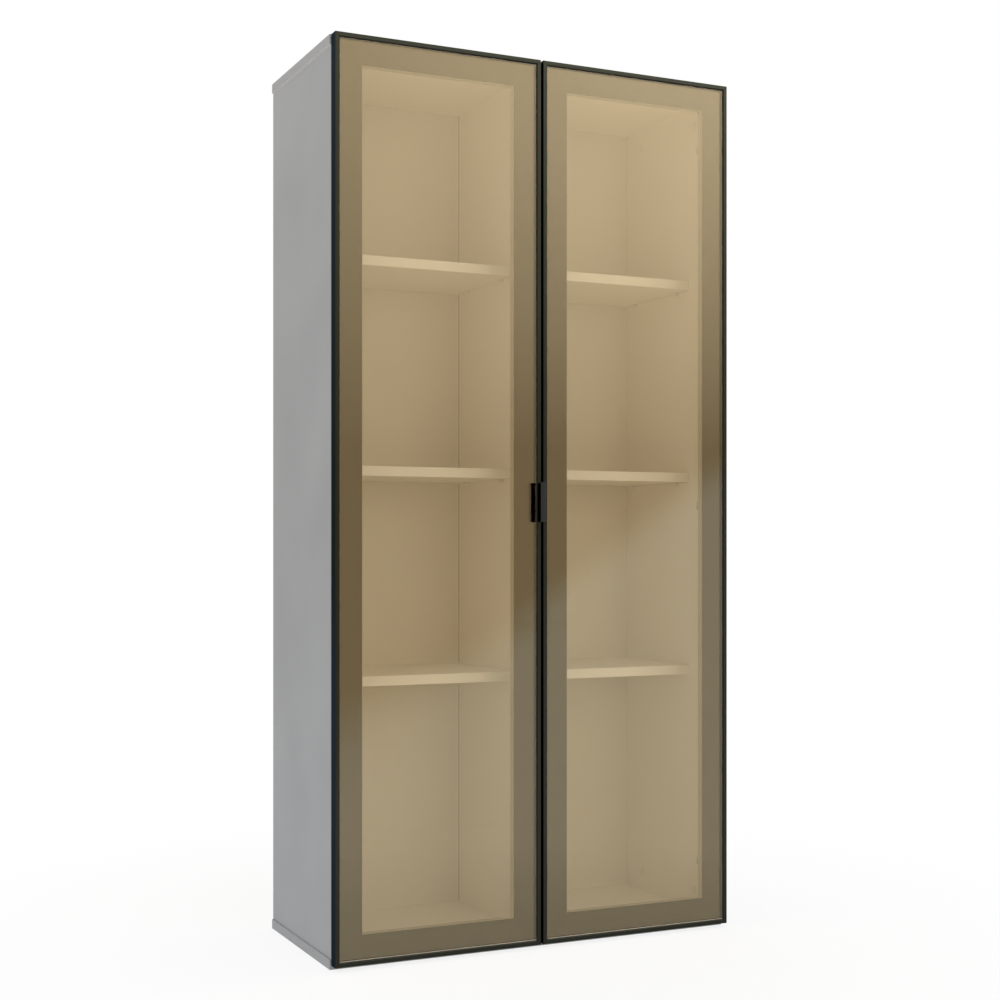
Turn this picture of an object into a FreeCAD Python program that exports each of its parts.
"""Two-door display cabinet: a board carcass with a centre partition and six shelves, behind
two glazed doors with mitred frames of hollow aluminium extrusion.

Lengths are millimetres. The origin is the middle of the carcass's underside, +Z is up and
the doors face -Y. Door sizes use (u, v, w): u from a door's hinge-side edge towards the
middle of the cabinet, v from the door's back face towards the front, and w from its bottom
edge up. The closed doors are modelled.
"""

import FreeCAD, Part
import math
import os

Vector = FreeCAD.Vector
LEFT, RIGHT = -1, 1
UP, FRONT = Vector(0, 0, 1), Vector(0, -1, 0)

# ---- Carcass ----
carcass_height = 1440.0
carcass_width = 706.0  # over the two side panels
carcass_depth = 300.0
board = 16.0  # thickness of every board
end_overhang = 2.0  # top and bottom panels past the side panels
band = 1.0  # edge strip
band_round = 0.6
back_thickness = 3.0
rebate_width = 8.0
back_clearance = 0.5  # back panel to the walls of its rebate

# ---- Shelves ----
shelf_tops = (443.0, 781.0, 1119.0)
shelf_names = ("lower", "middle", "upper")
shelf_setback = 75.0  # carcass front to shelf front
shelf_clearance = 0.5
shelf_pin_radius = 2.5
shelf_pin_reach = 8.0  # length that shows in the bay
shelf_pin_hole_depth = 10.0
shelf_pin_inset = 37.0  # from a shelf's front and back edges

# ---- Knock-down joints of the uprights ----
cam_inset = 60.0  # cams from the carcass's front and back
cam_backset = 34.0  # cam centre from the end of its upright
cam_hole_radius = 7.5
cam_hole_depth = 13.0
cam_clearance = 0.1
cam_height = 11.6
cam_slot_radius = 3.8
cam_key = (3.0, 0.6, 1.0)  # screwdriver slot: half length, half width, depth
cap_radius = 8.5
cap_thickness = 0.8
cap_boss_length = 0.9
bolt_thread_radius = 2.5
bolt_thread_length = 11.0
bolt_shaft_radius = 3.0
bolt_neck_radius = 2.0
bolt_head_length = 3.0
bolt_channel_radius = 4.0
dowel_radius = 4.0
dowel_length = 30.0
dowel_depth_in_panel = 10.5
dowel_pitch = 32.0  # dowel from the cam bolt beside it
hole_clearance = 0.05  # radial, round dowels, screws and pins
end_clearance = 0.5  # past the end of a dowel, bolt, screw or nail

# ---- Back panel nails ----
nail_pitch = 150.0
nail_radius = 0.8
nail_length = 18.0
nail_head_radius = 1.8
nail_head_thickness = 0.6

# ---- Doors ----
door_side_reveal = 0.0  # side panel's outer face to the door's edge: they are flush
door_top_reveal = 1.0
door_bottom_reveal = 7.0
door_gap = 4.4  # between the two doors
door_back_gap = 2.0  # carcass front to the back of the doors
profile_width = 46.0
rim_width = 6.5
flange_depth = 11.5
profile_wall = 1.5
profile_round = 0.4
mitre_gap = 0.15  # from each member's end to the mitre
glass_thickness = 4.0
glass_recess = 2.5  # rim front to glass front
glass_edge_clearance = 0.5
glass_chamfer = 0.4
tape_thickness = 0.5
tape_width = 10.0
tape_inset = 1.5  # from the rim to the tape

# ---- Corner connectors ----
connector_reach = 68.0  # from the door's edge to the end of a connector's arm
connector_clearance = 0.2
connector_screw_at = 56.0
connector_screw_radius = 2.0
connector_screw_length = 7.0

# ---- Hinges ----
hinge_end_distance = 100.0  # outer hinges from the door's ends
pin_u = 4.5
pin_v = 6.5
pin_radius = 1.25
pin_running_clearance = 0.05
knuckle_radius = 2.2
arm_thickness = 2.2
arm_width = 15.0
arm_round = 1.5
cup_radius = 17.5
cup_centre_u = 22.0
cup_wall = 1.2
cup_floor = 1.0
cup_clearance = 0.1
ear_clearance = 0.3  # between the arm's knuckle and the ears
ear_thickness = 2.5
ear_edge_u = 1.8
wing_thickness = 1.2
wing_radius = 7.0
wing_screw_offset = 24.0
wing_screw_radius = 2.0
wing_screw_length = 8.0
plate_thickness = 1.2
plate_wing_radius = 6.0
plate_screw_spacing = 32.0
plate_screw_setback = 28.0  # from the carcass front
plate_screw_radius = 3.0
plate_screw_length = 13.0
plate_lift = 0.2  # between the plate's wings and the arm's channel
channel_front = 8.0  # from the back of the door
channel_length = 30.0
channel_width = 13.0
channel_height = 7.8
channel_wall = 1.5
ridge_clearance = 0.1
clamp_screw_setback = 24.0  # from the carcass front
clamp_screw_radius = 2.4
clamp_head_radius = 3.5
clamp_head_height = 2.0
clamp_slot_width = 0.8

# ---- Handle on the left door ----
handle_height = 64.0
handle_thickness = 1.5
handle_reach = 16.0  # in front of the rim
handle_lip = 9.5
handle_back_v = 3.0
handle_round = 0.5  # free edges of the lip
handle_inner_bend = 0.7
handle_screw_v = 9.0
handle_screw_spacing = 40.0
handle_screw_radius = 1.5
handle_screw_length = 6.0

# ---- Bumpers, catches and wall brackets ----
bumper_radius = 4.0
closed_clearance = 0.3  # bumpers and catches to what they meet
bumper_inset = 12.0
catch_inset = 38.0  # catch centre from the door's free edge
catch_width = 44.0
catch_depth = 15.0
catch_height = 12.0
catch_round = 1.5
catch_screw_spacing = 34.0
magnet_width = 24.0
magnet_depth = 5.0
magnet_height = 8.0
strike_width = 30.0
strike_thickness = 1.0
bracket_spacing = 600.0
bracket_width = 30.0
bracket_leg = 40.0  # along the top panel
bracket_rise = 30.0
bracket_thickness = 2.0
bracket_round = 4.0  # corners at the ends of the legs
bracket_hole_radius = 3.25
bracket_hole_height = 18.0
board_screw_radius = 1.75
board_screw_length = 12.0
bracket_screw_spacing = 16.0
bracket_screw_setback = 24.0  # from the rear face

# ---- Worked out from the values above ----
side_outer = carcass_width / 2
side_inner = side_outer - board
end_outer = side_outer + end_overhang
front_y = -carcass_depth / 2
rear_y = carcass_depth / 2
back_face_y = rear_y - back_thickness
upright_bottom = board
upright_top = carcass_height - board
shelf_front_y = front_y + shelf_setback
shelf_rear_y = back_face_y - shelf_clearance
bay_width = side_inner - board / 2
joint_ys = (front_y + cam_inset, rear_y - cam_inset)

door_outer = side_outer - door_side_reveal
door_width = door_outer - door_gap / 2
door_bottom = door_bottom_reveal
door_height = carcass_height - door_top_reveal - door_bottom
glass_back_v = flange_depth + tape_thickness
glass_front_v = glass_back_v + glass_thickness
door_depth = glass_front_v + glass_recess
door_back_y = front_y - door_back_gap
glass_inset = rim_width + glass_edge_clearance
hinge_heights = (hinge_end_distance, door_height / 2, door_height - hinge_end_distance)
pocket_depth = flange_depth - profile_wall
cup_depth = pocket_depth - cup_clearance

side_inner_u = board - door_side_reveal
arm_u0 = side_inner_u + plate_thickness + plate_lift
arm_u1 = arm_u0 + arm_thickness
channel_top_u = arm_u0 + channel_height
ear_w0 = arm_width / 2 + ear_clearance
ear_w1 = ear_w0 + ear_thickness


# ---- Shapes ----
def block(x, y, z):
    """Box between two ends along each axis, given in either order."""
    low = Vector(min(x), min(y), min(z))
    size = Vector(max(x), max(y), max(z)) - low
    return Part.makeBox(size.x, size.y, size.z, low)


def rod(start, direction, radius, length):
    """Solid cylinder from start along direction."""
    return Part.makeCylinder(radius, length, start, direction)


def prism(points, along):
    """Polygon through points, swept along a vector."""
    return Part.Face(Part.makePolygon(points + points[:1])).extrude(along)


def rounded(shape, radius, chosen):
    """Fillet every edge that chosen(edge) picks."""
    return shape.makeFillet(radius, [edge for edge in shape.Edges if chosen(edge)])


def merged(shapes):
    """One solid from shapes that meet or overlap."""
    return shapes[0].fuse(shapes[1:]).removeSplitter()


def lies_along(edge, axis):
    """True for a straight edge that runs along axis."""
    span = edge.Vertexes[-1].Point - edge.Vertexes[0].Point
    return span.Length > 0 and abs(span.dot(axis)) > 0.999 * span.Length


def countersunk_screw(point, direction, radius, length, gap=0.0):
    """Screw with its head's top at point, pointing along direction. With a gap it is its hole."""
    head_radius, head_depth = 1.8 * radius, 0.8 * radius
    head = Part.makeCone(head_radius + gap, radius + gap, head_depth, point, direction)
    shank = rod(point, direction, radius + gap, length + (end_clearance if gap else 0))
    if gap:
        mouth = rod(point - direction * board, direction, head_radius + gap, board)
        return merged([head, shank, mouth])
    cross = [socket_bar(point, direction, turn, head_radius, head_depth) for turn in (0, 90)]
    return merged([head, shank]).cut(merged(cross))


def socket_bar(point, direction, turn, head_radius, head_depth):
    """One arm of a screw's cross recess."""
    length, width, depth = 1.1 * head_radius, 0.25 * head_radius, 0.6 * head_depth
    bar = Part.makeBox(length, width, 2 * depth, Vector(-length / 2, -width / 2, -depth))
    bar.rotate(Vector(0, 0, 0), UP, turn)
    bar.Placement = FreeCAD.Placement(point, FreeCAD.Rotation(UP, direction)) * bar.Placement
    return bar


# ---- Places on a door ----
def door_point(side, u, v, w):
    """A door's (u, v, w) in the cabinet's own axes."""
    return Vector(side * (door_outer - u), door_back_y - v, door_bottom + w)


def door_block(side, u, v, w):
    """Box between two ends along u, v and w."""
    near, far = (door_point(side, u[i], v[i], w[i]) for i in (0, 1))
    return block((near.x, far.x), (near.y, far.y), (near.z, far.z))


def towards_middle(side):
    """Direction in which u grows."""
    return Vector(-side, 0, 0)


# ---- Carcass boards ----
def upright_joints(x, cam_side):
    """Places of one upright's knock-down joints: x of its middle, y, the joint's plane z,
    the way out of the upright (+1 up), and the side of the board that its cams open to."""
    ends = ((upright_bottom, -1), (upright_top, 1))
    return [(x, y, z, way, cam_side) for z, way in ends for y in joint_ys]


JOINTS = (
    upright_joints(-(side_outer + side_inner) / 2, 1)
    + upright_joints(0.0, 1)
    + upright_joints((side_outer + side_inner) / 2, -1)
)


def cam_centre(joint):
    """Middle of a cam on the board's face, and the way into the board."""
    x, y, z, way, cam_side = joint
    face = Vector(x + cam_side * board / 2, y, z - way * cam_backset)
    return face, Vector(-cam_side, 0, 0)


def cam_lock(joint):
    """Cam in its board, slotted for the bolt's head and for a screwdriver."""
    x, y, _, way, _ = joint
    face, into = cam_centre(joint)
    start = face + into * (cap_boss_length + cam_clearance)
    cam = rod(start, into, cam_hole_radius - cam_clearance, cam_height)
    slot_start = Vector(x, y, face.z - way * cam_slot_radius)
    slot = rod(slot_start, UP * way, cam_slot_radius, 2 * cam_hole_radius)
    key_half_length, key_half_width, key_depth = cam_key
    key = block(
        (start.x - key_depth, start.x + key_depth),
        (y - key_half_length, y + key_half_length),
        (face.z - key_half_width, face.z + key_half_width),
    )
    return cam.cut(slot).cut(key)


def cam_cap(joint):
    """Push-in cap over a cam: a disc on the board's face with a boss in the hole."""
    face, into = cam_centre(joint)
    disc = rod(face, -into, cap_radius, cap_thickness)
    boss = rod(face, into, cam_hole_radius - cam_clearance, cap_boss_length)
    return merged([disc, boss])


def cam_bolt(joint):
    """Bolt screwed into the top or bottom panel, with its necked head inside the cam."""
    x, y, z, way, _ = joint
    seat, out = Vector(x, y, z), UP * way
    neck_length = cam_hole_radius
    shaft_length = cam_backset - neck_length - bolt_head_length / 2
    neck_start = seat - out * shaft_length
    return merged([
        rod(seat, out, bolt_thread_radius - hole_clearance, bolt_thread_length),
        rod(seat, -out, bolt_shaft_radius, shaft_length),
        rod(neck_start, -out, bolt_neck_radius, neck_length),
        rod(neck_start - out * neck_length, -out, bolt_shaft_radius, bolt_head_length),
    ])


def dowel_place(joint):
    """A joint's dowel stands beside its bolt, nearer to the middle of the board."""
    x, y, z, way, _ = joint
    return Vector(x, y - math.copysign(dowel_pitch, y), z), UP * way


def wood_dowel(joint):
    """Beech dowel with chamfered ends, part in the panel and part in the upright."""
    seat, out = dowel_place(joint)
    length_in_upright = dowel_length - dowel_depth_in_panel
    start = seat - out * length_in_upright
    dowel = rod(start, out, dowel_radius - hole_clearance, dowel_length)
    return dowel.makeChamfer(0.2 * dowel_radius, [e for e in dowel.Edges if not lies_along(e, UP)])


def joint_holes_in_upright(joint):
    """Cam hole, bolt channel and dowel hole."""
    x, y, z, _, _ = joint
    face, into = cam_centre(joint)
    seat, out = dowel_place(joint)
    dowel_depth = dowel_length - dowel_depth_in_panel + end_clearance
    return [
        rod(face, into, cam_hole_radius, cam_hole_depth),
        rod(Vector(x, y, z), -out, bolt_channel_radius, cam_backset),
        rod(seat, -out, dowel_radius, dowel_depth),
    ]


def joint_holes_in_panel(joint):
    """Bolt hole and dowel hole."""
    x, y, z, _, _ = joint
    seat, out = dowel_place(joint)
    return [
        rod(Vector(x, y, z), out, bolt_thread_radius, bolt_thread_length + end_clearance),
        rod(seat, out, dowel_radius, dowel_depth_in_panel + end_clearance),
    ]


def shelf_pin_places():
    """Where each shelf pin enters its board, and the way out of the board."""
    ys = (shelf_front_y + shelf_pin_inset, shelf_rear_y - shelf_pin_inset)
    walls = ((-side_inner, 1), (-board / 2, -1), (board / 2, 1), (side_inner, -1))
    return [
        (Vector(x, y, top - board - shelf_pin_radius), Vector(way, 0, 0))
        for top in shelf_tops
        for y in ys
        for x, way in walls
    ]


def shelf_pin_depth(point):
    """Depth of a pin's hole. In the partition the holes of both bays stand back to back, so
    each takes less than half of the board."""
    in_partition = abs(point.x) < side_inner
    return board / 2 - end_clearance if in_partition else shelf_pin_hole_depth


def shelf_pin(place):
    """Plain pin of tough off-white plastic, half in its hole and half under the shelf."""
    point, out = place
    buried = shelf_pin_depth(point) - end_clearance
    return rod(point - out * buried, out, shelf_pin_radius, buried + shelf_pin_reach)


def shelf_pin_hole(place):
    """Blind hole of a shelf pin."""
    point, out = place
    depth = shelf_pin_depth(point)
    return rod(point - out * depth, out, shelf_pin_radius + hole_clearance, depth)


def nail_places():
    """Nail heads round the back panel's edge and up the partition."""
    edge_x = side_inner + rebate_width / 2
    low_z = upright_bottom - rebate_width / 2
    high_z = upright_top + rebate_width / 2
    rows = max(2, round((high_z - low_z) / nail_pitch))
    columns = max(2, round(2 * edge_x / nail_pitch))
    heights = [low_z + (high_z - low_z) * (i + 0.5) / rows for i in range(rows)]
    across = [-edge_x + 2 * edge_x * (i + 0.5) / columns for i in range(columns)]
    uprights = [(x, z) for z in heights for x in (-edge_x, 0.0, edge_x)]
    ends = [(x, z) for x in across for z in (low_z, high_z)]
    return [Vector(x, rear_y, z) for x, z in uprights + ends]


def nail(point, gap=0.0):
    """Flat-headed nail, its head flush with the back panel. With a gap it is its hole."""
    length = nail_length + (end_clearance if gap else 0)
    return merged([
        rod(point, FRONT, nail_head_radius + gap, nail_head_thickness),
        rod(point, FRONT, nail_radius + gap, length),
    ])


def nail_holes():
    """Holes of all nails."""
    return [nail(point, hole_clearance) for point in nail_places()]


def side_panel(side):
    """Upright between the end panels, rebated at the rear for the back panel."""
    panel = block(
        (side * side_inner, side * side_outer),
        (front_y + band, rear_y),
        (upright_bottom, upright_top),
    )
    rebate = block(
        (side * (side_inner - 1), side * (side_inner + rebate_width)),
        (back_face_y, rear_y + 1),
        (upright_bottom, upright_top),
    )
    joints = [j for j in JOINTS if j[0] * side > board]
    holes = [hole for j in joints for hole in joint_holes_in_upright(j)]
    holes += [shelf_pin_hole(p) for p in shelf_pin_places() if p[0].x * side >= side_inner]
    holes += plate_screws(side, hole_clearance)
    holes += [hole for hole in nail_holes() if hole.BoundBox.Center.x * side > side_inner]
    return panel.cut([rebate] + holes)


def centre_partition():
    """Middle upright, from the carcass front to the back panel."""
    panel = block(
        (-board / 2, board / 2), (front_y + band, back_face_y), (upright_bottom, upright_top)
    )
    holes = [hole for j in JOINTS if j[0] == 0 for hole in joint_holes_in_upright(j)]
    holes += [shelf_pin_hole(p) for p in shelf_pin_places() if abs(p[0].x) < side_inner]
    holes += [hole for hole in nail_holes() if abs(hole.BoundBox.Center.x) < 1]
    return panel.cut(holes)


def end_panel(way):
    """Top (way 1) or bottom (way -1) panel, running over the uprights' ends."""
    inner_z = upright_top if way > 0 else upright_bottom
    outer_z = inner_z + way * board
    panel = block(
        (-end_outer + band, end_outer - band), (front_y + band, rear_y), (inner_z, outer_z)
    )
    rebate = block(
        (-side_inner - rebate_width, side_inner + rebate_width),
        (back_face_y, rear_y + 1),
        (inner_z - way, inner_z + way * rebate_width),
    )
    holes = [hole for j in JOINTS if j[3] == way for hole in joint_holes_in_panel(j)]
    holes += [hole for hole in nail_holes() if (hole.BoundBox.Center.z - inner_z) * way > 0]
    if way > 0:
        holes += board_screws(hole_clearance)
    return panel.cut([rebate] + holes)


def back_panel():
    """Thin board in the rebate at the very rear."""
    edge_x = side_inner + rebate_width - back_clearance
    low_z = upright_bottom - rebate_width + back_clearance
    high_z = upright_top + rebate_width - back_clearance
    panel = block((-edge_x, edge_x), (back_face_y, rear_y), (low_z, high_z))
    return panel.cut(nail_holes())


def shelf_span(bay):
    """A shelf's two ends in x."""
    return (
        bay * (board / 2 + shelf_clearance),
        bay * (board / 2 + bay_width - shelf_clearance),
    )


def shelf(bay, top):
    """Loose shelf on its four pins."""
    return block(shelf_span(bay), (shelf_front_y + band, shelf_rear_y), (top - board, top))


def strip(x, y, z, outward):
    """Edge strip with its long outer edges rounded; outward points away from the board."""
    body = block(x, y, z)
    spans = (body.BoundBox.XLength, body.BoundBox.YLength, body.BoundBox.ZLength)
    axis = [Vector(1, 0, 0), Vector(0, 1, 0), Vector(0, 0, 1)][spans.index(max(spans))]
    centre = body.BoundBox.Center

    def outer(edge):
        return lies_along(edge, axis) and (edge.CenterOfMass - centre).dot(outward) > 0

    return rounded(body, min(band_round, 0.9 * band), outer)


def front_strip(x, z, y=front_y):
    """Edge strip on a board's front edge."""
    return strip(x, (y, y + band), z, FRONT)


def upright_edge_bands():
    """Front strips of the side panels and the partition."""
    z = (upright_bottom, upright_top)
    return [
        front_strip((-side_outer, -side_inner), z),
        front_strip((-board / 2, board / 2), z),
        front_strip((side_inner, side_outer), z),
    ]


def end_edge_bands(z):
    """Strips on the front and both ends of the top or bottom panel."""
    sides = [
        strip((side * (end_outer - band), side * end_outer), (front_y + band, rear_y), z,
              Vector(side, 0, 0))
        for side in (LEFT, RIGHT)
    ]
    return [front_strip((-end_outer, end_outer), z)] + sides


def shelf_edge_bands():
    """Front strips of the shelves."""
    return [
        front_strip(shelf_span(bay), (top - board, top), shelf_front_y)
        for bay in (LEFT, RIGHT)
        for top in shelf_tops
    ]


# ---- Door frame ----
def member_path(kind):
    """A frame member's place: a function from (a, v, s) to (u, v, w), and its length.
    a runs inwards from the door's edge and s along the member."""
    places = {
        "hinge_stile": (lambda a, v, s: (a, v, s), door_height),
        "free_stile": (lambda a, v, s: (door_width - a, v, s), door_height),
        "bottom_rail": (lambda a, v, s: (s, v, a), door_width),
        "top_rail": (lambda a, v, s: (s, v, door_height - a), door_width),
    }
    return places[kind]


def frame_member(side, kind):
    """Hollow extrusion: a deep rim at the door's edge and a flange behind the glass, cut to
    45 degrees at both ends."""
    place, length = member_path(kind)

    def at(a, v, s=0.0):
        return door_point(side, *place(a, v, s))

    def loop(corners):
        return [at(a, v) for a, v in corners]

    along = at(0, 0, length) - at(0, 0)
    outline = loop([
        (0, 0), (profile_width, 0), (profile_width, flange_depth),
        (rim_width, flange_depth), (rim_width, door_depth), (0, door_depth),
    ])
    inner = rim_width - profile_wall
    rim_chamber = loop([
        (profile_wall, profile_wall), (inner, profile_wall),
        (inner, door_depth - profile_wall), (profile_wall, door_depth - profile_wall),
    ])
    far = profile_width - profile_wall
    flange_chamber = loop([
        (rim_width, profile_wall), (far, profile_wall), (far, pocket_depth),
        (rim_width, pocket_depth),
    ])
    body = prism(outline, along)
    inside_corner = at(rim_width, flange_depth)

    def outer_edge(edge):
        offset = edge.CenterOfMass - inside_corner
        across = offset - along * (offset.dot(along) / along.dot(along))
        return lies_along(edge, along / along.Length) and across.Length > profile_round

    body = rounded(body, profile_round, outer_edge)
    body = body.cut([prism(rim_chamber, along), prism(flange_chamber, along)])
    # Between the mitres: at both ends the member is shorter by as much as a has grown.
    near_a, far_a, behind = -1, profile_width + 1, -1
    between_mitres = prism(
        [
            at(near_a, behind, mitre_gap + near_a),
            at(near_a, behind, length - mitre_gap - near_a),
            at(far_a, behind, length - mitre_gap - far_a),
            at(far_a, behind, mitre_gap + far_a),
        ],
        at(0, door_depth + 2) - at(0, 0),
    )
    return body.common(between_mitres).cut(frame_holes(side, kind))


def frame_holes(side, kind):
    """Pockets and screw holes of one frame member."""
    screws = connector_screw_places()
    holes = [
        connector_screw(side, place, hole_clearance) for member, place in screws if member == kind
    ]
    if kind == "hinge_stile":
        for w in hinge_heights:
            holes += [cup_pocket(side, w)]
            holes += [wing_screw(side, w, way, hole_clearance) for way in (-1, 1)]
    if kind == "free_stile" and side == LEFT:
        holes += handle_screws(hole_clearance)
    return holes


def glass(side):
    """Pane between the rims, in front of the flange."""
    pane = door_block(
        side,
        (glass_inset, door_width - glass_inset),
        (glass_back_v, glass_front_v),
        (glass_inset, door_height - glass_inset),
    )
    return pane.makeChamfer(glass_chamfer, pane.Edges)


def glazing_tape(side):
    """Four strips of double-sided tape that hold the pane on the flange."""
    near = rim_width + tape_inset
    far = near + tape_width
    v = (flange_depth, glass_back_v)
    upright = (near, door_height - near)
    between = (far, door_width - far)
    return [
        door_block(side, (near, far), v, upright),
        door_block(side, (door_width - near, door_width - far), v, upright),
        door_block(side, between, v, (near, far)),
        door_block(side, between, v, (door_height - near, door_height - far)),
    ]


def corners():
    """The four corners: u and w of the corner, and the ways into the door."""
    return [
        (u, u_way, w, w_way)
        for u, u_way in ((0.0, 1), (door_width, -1))
        for w, w_way in ((0.0, 1), (door_height, -1))
    ]


def corner_connector(side, corner):
    """Cast angle that fills the flange chambers either side of a mitre."""
    u, u_way, w, w_way = corner
    near = rim_width + connector_clearance
    far = profile_width - profile_wall - connector_clearance
    v = (profile_wall + connector_clearance, pocket_depth - connector_clearance)
    foot = door_block(
        side, (u + u_way * near, u + u_way * connector_reach), v, (w + w_way * near, w + w_way * far)
    )
    post = door_block(
        side, (u + u_way * near, u + u_way * far), v, (w + w_way * near, w + w_way * connector_reach)
    )
    holes = [connector_screw(side, place, hole_clearance) for _, place in corner_screws(corner)]
    return merged([foot, post]).cut(holes)


def corner_screws(corner):
    """The two screws of a connector: the member each goes through, and its (u, w)."""
    u, u_way, w, w_way = corner
    middle = (rim_width + profile_width) / 2
    stile = "hinge_stile" if u_way > 0 else "free_stile"
    rail = "bottom_rail" if w_way > 0 else "top_rail"
    return [
        (stile, (u + u_way * middle, w + w_way * connector_screw_at)),
        (rail, (u + u_way * connector_screw_at, w + w_way * middle)),
    ]


def connector_screw_places():
    """All connector screws of a door."""
    return [screw for corner in corners() for screw in corner_screws(corner)]


def connector_screw(side, place, gap=0.0):
    """Screw from the door's back face into a connector."""
    point = door_point(side, place[0], 0, place[1])
    return countersunk_screw(
        point, FRONT, connector_screw_radius, connector_screw_length, gap
    )


# ---- Hinges ----
def cup_pocket(side, w):
    """Milled opening in the hinge stile for one cup and its ears."""
    return merged([
        rod(door_point(side, cup_centre_u, -1, w), FRONT, cup_radius + cup_clearance,
            pocket_depth + 1),
        door_block(
            side,
            (ear_edge_u - cup_clearance, cup_centre_u),
            (-1, pocket_depth),
            (w - ear_w1 - cup_clearance, w + ear_w1 + cup_clearance),
        ),
    ])


def hinge_cup(side, w):
    """Pressed cup with two ears for the pin and two screw wings on the door's back."""
    centre = door_point(side, cup_centre_u, 0, w)
    inside = cup_depth - cup_floor
    bowl = rod(centre, FRONT, cup_radius, cup_depth)
    hollow = rod(centre - FRONT, FRONT, cup_radius - cup_wall, inside + 1)
    slot = door_block(side, (0, cup_centre_u), (-1, inside), (w - ear_w0, w + ear_w0))
    ear_u = (ear_edge_u, 2 * pin_u)
    ears = [
        door_block(side, ear_u, (profile_wall, cup_depth), (w + way * ear_w0, w + way * ear_w1))
        for way in (-1, 1)
    ]
    tongue = door_block(
        side, (ear_edge_u, cup_centre_u), (inside, cup_depth), (w - ear_w1, w + ear_w1)
    )
    wings = [hinge_wing(side, w, way) for way in (-1, 1)]
    bore = rod(
        door_point(side, pin_u, pin_v, w - ear_w1 - 1), UP, pin_radius, 2 * ear_w1 + 2
    )
    screws = [wing_screw(side, w, way, hole_clearance) for way in (-1, 1)]
    return merged([bowl.cut([hollow, slot]), tongue] + ears + wings).cut([bore] + screws)


def hinge_wing(side, w, way):
    """Rounded tab of a cup, on the door's back face."""
    screw_w = w + way * wing_screw_offset
    root_w = w + way * (cup_radius - 2 * cup_wall)
    tab = door_block(
        side,
        (cup_centre_u - wing_radius, cup_centre_u + wing_radius),
        (-wing_thickness, 0),
        (root_w, screw_w),
    )
    tip = rod(door_point(side, cup_centre_u, -wing_thickness, screw_w), FRONT, wing_radius,
              wing_thickness)
    return merged([tab, tip])


def wing_screw(side, w, way, gap=0.0):
    """Screw through a wing into the stile."""
    point = door_point(side, cup_centre_u, -wing_thickness, w + way * wing_screw_offset)
    return countersunk_screw(point, FRONT, wing_screw_radius, wing_screw_length, gap)


def hinge_pin(side, w):
    """Pin held in the cup's ears, on which the arm's knuckle turns."""
    start = door_point(side, pin_u, pin_v, w - ear_w1)
    return rod(start, UP, pin_radius, 2 * ear_w1)


def hinge_arm(side, w):
    """Steel arm: a knuckle on the pin, a goose-neck out of the cup and into the cabinet, and
    a channel that sits over its mounting plate."""
    half = arm_width / 2
    across = (w - half, w + half)
    plate_v = (pin_v - arm_thickness / 2, pin_v + arm_thickness / 2)
    neck = door_block(side, (pin_u, arm_u1), plate_v, across)
    leg = door_block(side, (arm_u0, arm_u1), (-channel_front, plate_v[1]), across)
    bend = door_point(side, arm_u1, plate_v[1], w)

    def outer_bend(edge):
        offset = edge.CenterOfMass - bend
        return lies_along(edge, UP) and math.hypot(offset.x, offset.y) < 0.01

    goose_neck = rounded(merged([neck, leg]), arm_round, outer_bend)
    knuckle = rod(door_point(side, pin_u, pin_v, w - half), UP, knuckle_radius, arm_width)
    channel = hinge_channel(side, w)
    bore_radius = pin_radius + pin_running_clearance
    bore = rod(door_point(side, pin_u, pin_v, w - half - 1), UP, bore_radius, arm_width + 2)
    return merged([goose_neck, knuckle, channel]).cut(bore)


def hinge_channel(side, w):
    """Rear half of an arm, open towards its mounting plate."""
    half = channel_width / 2
    rear = -(channel_front + channel_length)
    outer = door_block(
        side, (arm_u0, channel_top_u), (rear, -channel_front), (w - half, w + half)
    )
    top_x = door_point(side, channel_top_u, 0, 0).x

    def top_edge(edge):
        return lies_along(edge, FRONT) and abs(edge.CenterOfMass.x - top_x) < 0.01

    outer = rounded(outer, channel_wall / 2, top_edge)
    inner = door_block(
        side,
        (arm_u0 - 1, channel_top_u - channel_wall),
        (rear - 1, -channel_front - channel_wall),
        (w - half + channel_wall, w + half - channel_wall),
    )
    hole = rod(clamp_point(side, w), -towards_middle(side),
               clamp_screw_radius + hole_clearance, channel_wall + 1)
    return outer.cut([inner, hole])


def clamp_point(side, w):
    """Where a clamp screw's head sits on the channel."""
    v = -(door_back_gap + clamp_screw_setback)
    return door_point(side, channel_top_u, v, w)


def clamp_screw(side, w):
    """Screw that holds an arm on its plate."""
    seat = clamp_point(side, w)
    into = -towards_middle(side)
    length = channel_top_u - side_inner_u - plate_thickness
    head = rod(seat, -into, clamp_head_radius, clamp_head_height)
    slot_start = seat - into * (clamp_head_height / 2)
    slot_end = seat - into * (clamp_head_height + 1)
    slot = block(
        (slot_start.x, slot_end.x),
        (seat.y - clamp_slot_width / 2, seat.y + clamp_slot_width / 2),
        (seat.z - clamp_head_radius, seat.z + clamp_head_radius),
    )
    return merged([head, rod(seat, into, clamp_screw_radius, length)]).cut(slot)


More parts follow.
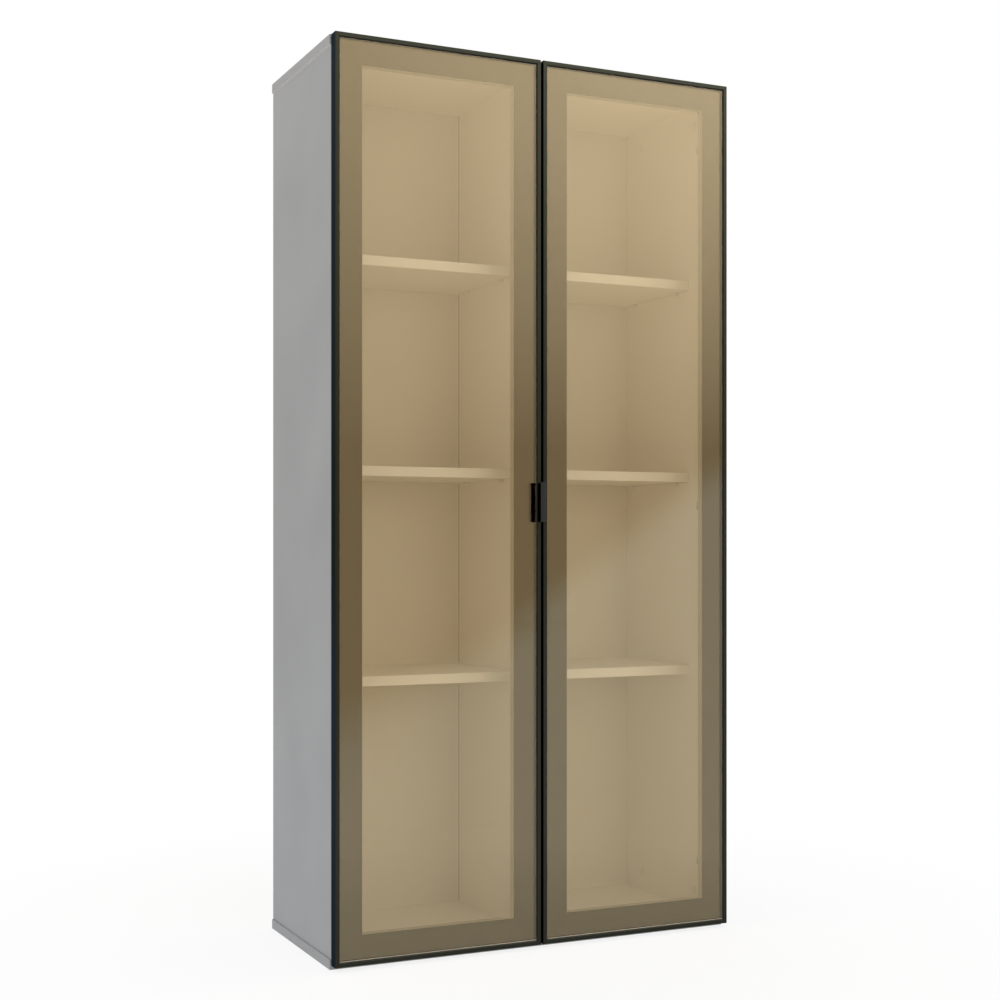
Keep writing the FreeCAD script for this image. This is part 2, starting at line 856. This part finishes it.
def hinge_plate(side, w):
    """Mounting plate: a ridge inside the arm's channel and two screw wings."""
    ridge_half = channel_width / 2 - channel_wall - ridge_clearance
    rear = -(channel_front + channel_length)
    front = -(channel_front + channel_wall + ridge_clearance)
    ridge = door_block(
        side, (side_inner_u, channel_top_u - channel_wall), (rear, front),
        (w - ridge_half, w + ridge_half)
    )
    v = plate_screw_v()
    half = plate_screw_spacing / 2
    wings = door_block(
        side,
        (side_inner_u, side_inner_u + plate_thickness),
        (v - plate_wing_radius, v + plate_wing_radius),
        (w - half, w + half),
    )
    ends = [
        rod(door_point(side, side_inner_u, v, w + way * half), towards_middle(side),
            plate_wing_radius, plate_thickness)
        for way in (-1, 1)
    ]
    holes = [plate_screw(side, w, way, hole_clearance) for way in (-1, 1)]
    thread = rod(clamp_point(side, w), -towards_middle(side),
                 clamp_screw_radius + hole_clearance,
                 channel_top_u - side_inner_u - plate_thickness + ridge_clearance)
    return merged([ridge, wings] + ends).cut(holes + [thread])


def plate_screw_v():
    """v of the mounting plate's screws."""
    return -(door_back_gap + plate_screw_setback)


def plate_screw(side, w, way, gap=0.0):
    """Screw through a mounting plate into the side panel."""
    point = door_point(
        side, side_inner_u + plate_thickness, plate_screw_v(), w + way * plate_screw_spacing / 2
    )
    return countersunk_screw(
        point, -towards_middle(side), plate_screw_radius, plate_screw_length, gap
    )


def plate_screws(side, gap=0.0):
    """All plate screws of one side panel."""
    return [plate_screw(side, w, way, gap) for w in hinge_heights for way in (-1, 1)]


# ---- Handle ----
def handle():
    """Thin edge pull: a fin on the left door's free edge, turned over in front of the rim."""
    inner_u, outer_u = door_width, door_width + handle_thickness
    front_v = door_depth + handle_reach
    middle = door_height / 2
    w = (middle - handle_height / 2, middle + handle_height / 2)
    fin = door_block(LEFT, (inner_u, outer_u), (handle_back_v, front_v), w)
    back_v = front_v - handle_thickness
    lip = door_block(LEFT, (outer_u - handle_lip, outer_u), (back_v, front_v), w)

    def upright_at(u, v):
        return lambda edge: (
            lies_along(edge, UP)
            and (edge.CenterOfMass - door_point(LEFT, u, v, middle)).Length < handle_round
        )

    body = merged([fin, lip])
    for v in (front_v, back_v):
        body = rounded(body, handle_round, upright_at(outer_u - handle_lip, v))
    body = rounded(body, handle_inner_bend, upright_at(inner_u, back_v))
    body = rounded(body, handle_inner_bend + handle_thickness, upright_at(outer_u, front_v))
    return body.cut(handle_screws(hole_clearance))


def handle_screws(gap=0.0):
    """Two screws through the fin into the stile's edge."""
    middle = door_height / 2
    return [
        countersunk_screw(
            door_point(LEFT, door_width + handle_thickness, handle_screw_v,
                       middle + way * handle_screw_spacing / 2),
            -towards_middle(LEFT), handle_screw_radius, handle_screw_length, gap,
        )
        for way in (-1, 1)
    ]


# ---- Bumpers, catches and wall brackets ----
def bumpers(side):
    """Soft studs on the door's back at its free corners, before the end panels' edges."""
    heights = (
        (door_bottom + board) / 2 - door_bottom,
        (upright_top + carcass_height - door_top_reveal) / 2 - door_bottom,
    )
    thickness = door_back_gap - closed_clearance
    return [
        rod(door_point(side, door_width - bumper_inset, -thickness, w), FRONT,
            bumper_radius, thickness)
        for w in heights
    ]


def catch_x(side):
    """Middle of a catch."""
    return side * (door_outer - door_width + catch_inset)


def magnet(side):
    """Magnet of a catch, standing a little proud of the carcass front."""
    x = catch_x(side)
    face_y = door_back_y + strike_thickness + closed_clearance
    middle_z = upright_top - catch_height / 2
    return block(
        (x - magnet_width / 2, x + magnet_width / 2),
        (face_y, face_y + magnet_depth),
        (middle_z - magnet_height / 2, middle_z + magnet_height / 2),
    )


def catch_housing(side):
    """Plastic block under the top panel that holds the magnet."""
    x = catch_x(side)
    body = block(
        (x - catch_width / 2, x + catch_width / 2),
        (front_y, front_y + catch_depth),
        (upright_top - catch_height, upright_top),
    )

    def rear_corner(edge):
        return lies_along(edge, UP) and edge.CenterOfMass.y > front_y + catch_depth / 2

    body = rounded(body, catch_round, rear_corner)
    return body.cut([magnet(side)] + catch_screws(side, hole_clearance))


def catch_screws(side, gap=0.0):
    """Two screws up through a catch into the top panel."""
    counterbore = catch_height / 2
    return [
        countersunk_screw(
            Vector(catch_x(side) + way * catch_screw_spacing / 2,
                   front_y + catch_depth / 2, upright_top - counterbore),
            UP, board_screw_radius, board_screw_length, gap,
        )
        for way in (-1, 1)
    ]


def strike_plate(side):
    """Steel plate on the door's back that the magnet holds."""
    middle_w = upright_top - catch_height / 2 - door_bottom
    u = door_width - catch_inset
    return door_block(
        side,
        (u - strike_width / 2, u + strike_width / 2),
        (-strike_thickness, 0),
        (middle_w - catch_height / 2, middle_w + catch_height / 2),
    )


def wall_bracket(side):
    """Steel angle on the top panel, its upright leg against the wall."""
    x = side * bracket_spacing / 2
    width = (x - bracket_width / 2, x + bracket_width / 2)
    top = carcass_height
    foot = block(width, (rear_y - bracket_leg, rear_y), (top, top + bracket_thickness))
    leg = block(width, (rear_y - bracket_thickness, rear_y), (top, top + bracket_rise))
    hole = rod(Vector(x, rear_y - bracket_thickness - 1, top + bracket_hole_height),
               -FRONT, bracket_hole_radius, bracket_thickness + 2)

    def end_corner(edge):
        foot_end = lies_along(edge, UP) and edge.CenterOfMass.y < rear_y - bracket_leg / 2
        leg_end = lies_along(edge, FRONT) and edge.CenterOfMass.z > top + bracket_rise / 2
        return foot_end or leg_end

    body = rounded(merged([foot, leg]), bracket_round, end_corner)
    return body.cut([hole] + bracket_screws(side, hole_clearance))


def bracket_screws(side, gap=0.0):
    """Two screws down through a wall bracket into the top panel."""
    x = side * bracket_spacing / 2
    return [
        countersunk_screw(
            Vector(x + way * bracket_screw_spacing / 2, rear_y - bracket_screw_setback,
                   carcass_height + bracket_thickness),
            -UP, board_screw_radius, board_screw_length, gap,
        )
        for way in (-1, 1)
    ]


def board_screws(gap=0.0):
    """The screws of the catches and of the wall brackets, all one kind."""
    return [
        screw
        for side in (LEFT, RIGHT)
        for screw in catch_screws(side, gap) + bracket_screws(side, gap)
    ]


# ---- The pieces ----
def door_parts(side, name):
    """Every piece of one door, by node name."""
    parts = {
        f"{name}_{kind}": [frame_member(side, kind)]
        for kind in ("hinge_stile", "free_stile", "top_rail", "bottom_rail")
    }
    places = [place for _, place in connector_screw_places()]
    parts.update({
        f"{name}_glass": [glass(side)],
        f"{name}_glazing_tape": glazing_tape(side),
        f"{name}_corner_connectors": [corner_connector(side, c) for c in corners()],
        f"{name}_connector_screws": [connector_screw(side, place) for place in places],
        f"{name}_hinge_cups": [hinge_cup(side, w) for w in hinge_heights],
        f"{name}_hinge_cup_screws": [
            wing_screw(side, w, way) for w in hinge_heights for way in (-1, 1)
        ],
        f"{name}_hinge_pins": [hinge_pin(side, w) for w in hinge_heights],
        f"{name}_bumpers": bumpers(side),
        f"{name}_strike_plate": [strike_plate(side)],
    })
    return parts


def carcass_parts():
    """Every piece that stays still, by node name."""
    sides = (LEFT, RIGHT)
    hinges = [(side, w) for side in sides for w in hinge_heights]
    parts = {
        "side_panel_left": [side_panel(LEFT)],
        "side_panel_right": [side_panel(RIGHT)],
        "top_panel": [end_panel(1)],
        "bottom_panel": [end_panel(-1)],
        "centre_partition": [centre_partition()],
        "back_panel": [back_panel()],
        "upright_edge_bands": upright_edge_bands(),
        "top_edge_bands": end_edge_bands((upright_top, carcass_height)),
        "bottom_edge_bands": end_edge_bands((0.0, upright_bottom)),
        "shelf_edge_bands": shelf_edge_bands(),
        "shelf_pins": [shelf_pin(place) for place in shelf_pin_places()],
        "cam_locks": [cam_lock(joint) for joint in JOINTS],
        "cam_bolts": [cam_bolt(joint) for joint in JOINTS],
        "cam_caps": [cam_cap(joint) for joint in JOINTS],
        "wood_dowels": [wood_dowel(joint) for joint in JOINTS],
        "back_panel_nails": [nail(point) for point in nail_places()],
        "hinge_plates": [hinge_plate(side, w) for side, w in hinges],
        "hinge_plate_screws": plate_screws(LEFT) + plate_screws(RIGHT),
        "hinge_arms": [hinge_arm(side, w) for side, w in hinges],
        "hinge_clamp_screws": [clamp_screw(side, w) for side, w in hinges],
        "catch_housings": [catch_housing(side) for side in sides],
        "catch_magnets": [magnet(side) for side in sides],
        "wall_brackets": [wall_bracket(side) for side in sides],
        "board_screws": board_screws(),
    }
    for bay, bay_name in ((LEFT, "left"), (RIGHT, "right")):
        for top, level in zip(shelf_tops, shelf_names):
            parts[f"shelf_{bay_name}_{level}"] = [shelf(bay, top)]
    return parts


def main():
    """Writes one STEP file for each node."""
    os.makedirs("parts", exist_ok=True)
    parts = carcass_parts()
    parts.update(door_parts(LEFT, "left_door"))
    parts.update(door_parts(RIGHT, "right_door"))
    parts["handle"] = [handle()]
    parts["handle_screws"] = handle_screws()
    for name, shapes in parts.items():
        solids = [solid for shape in shapes for solid in shape.Solids]
        if len(solids) != len(shapes) or not all(solid.isValid() for solid in solids):
            print("check", name, len(shapes), "shapes,", len(solids), "solids")
        body = solids[0] if len(solids) == 1 else Part.makeCompound(solids)
        body.exportStep(f"parts/{name}.step")
    print(len(parts), "nodes")


main()
